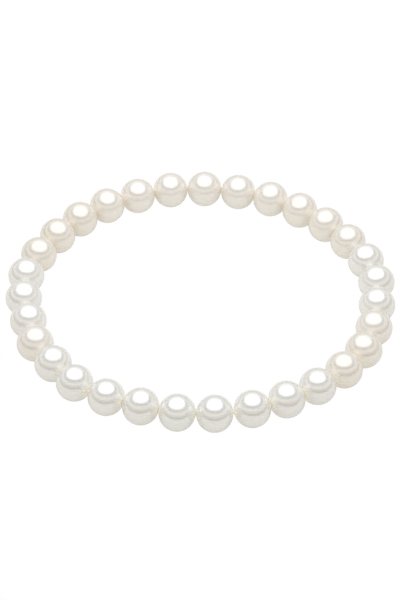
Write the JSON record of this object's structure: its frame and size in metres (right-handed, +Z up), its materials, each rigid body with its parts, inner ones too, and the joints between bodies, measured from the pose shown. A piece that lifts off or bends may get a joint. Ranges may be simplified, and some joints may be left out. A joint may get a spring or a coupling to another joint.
{
  "type": "pearl bracelet",
  "caption": "Single-strand stretch bracelet: round white drilled pearls strung side by side on one elastic thread, lying as an open loop that a wrist passes through.",
  "frame": {"origin": "middle of the loop on the surface that the bracelet lies on: the centre of the bounding box's underside", "axes": "+Z up, along the wrist that goes through the loop; the loop lies in X and Y, +Y towards the back of the picture's view and +X to its right"},
  "size_m": [0.0648, 0.0646, 0.006],
  "materials": {
    "pearl": "polished nacre, cream white with a soft rose and ivory overtone",
    "thread": "cream elastic cord, satin"
  },
  "bodies": {
    "root": {"pearl_01": "pearl", "pearl_02": "pearl", "pearl_03": "pearl", "pearl_04": "pearl", "pearl_05": "pearl", "pearl_06": "pearl", "pearl_07": "pearl", "pearl_08": "pearl", "pearl_09": "pearl", "pearl_10": "pearl", "pearl_11": "pearl", "pearl_12": "pearl", "pearl_13": "pearl", "pearl_14": "pearl", "pearl_15": "pearl", "pearl_16": "pearl", "pearl_17": "pearl", "pearl_18": "pearl", "pearl_19": "pearl", "pearl_20": "pearl", "pearl_21": "pearl", "pearl_22": "pearl", "pearl_23": "pearl", "pearl_24": "pearl", "pearl_25": "pearl", "pearl_26": "pearl", "pearl_27": "pearl", "pearl_28": "pearl", "pearl_29": "pearl", "pearl_30": "pearl", "pearl_31": "pearl", "elastic_thread": "thread"}
  },
  "joints": []
}
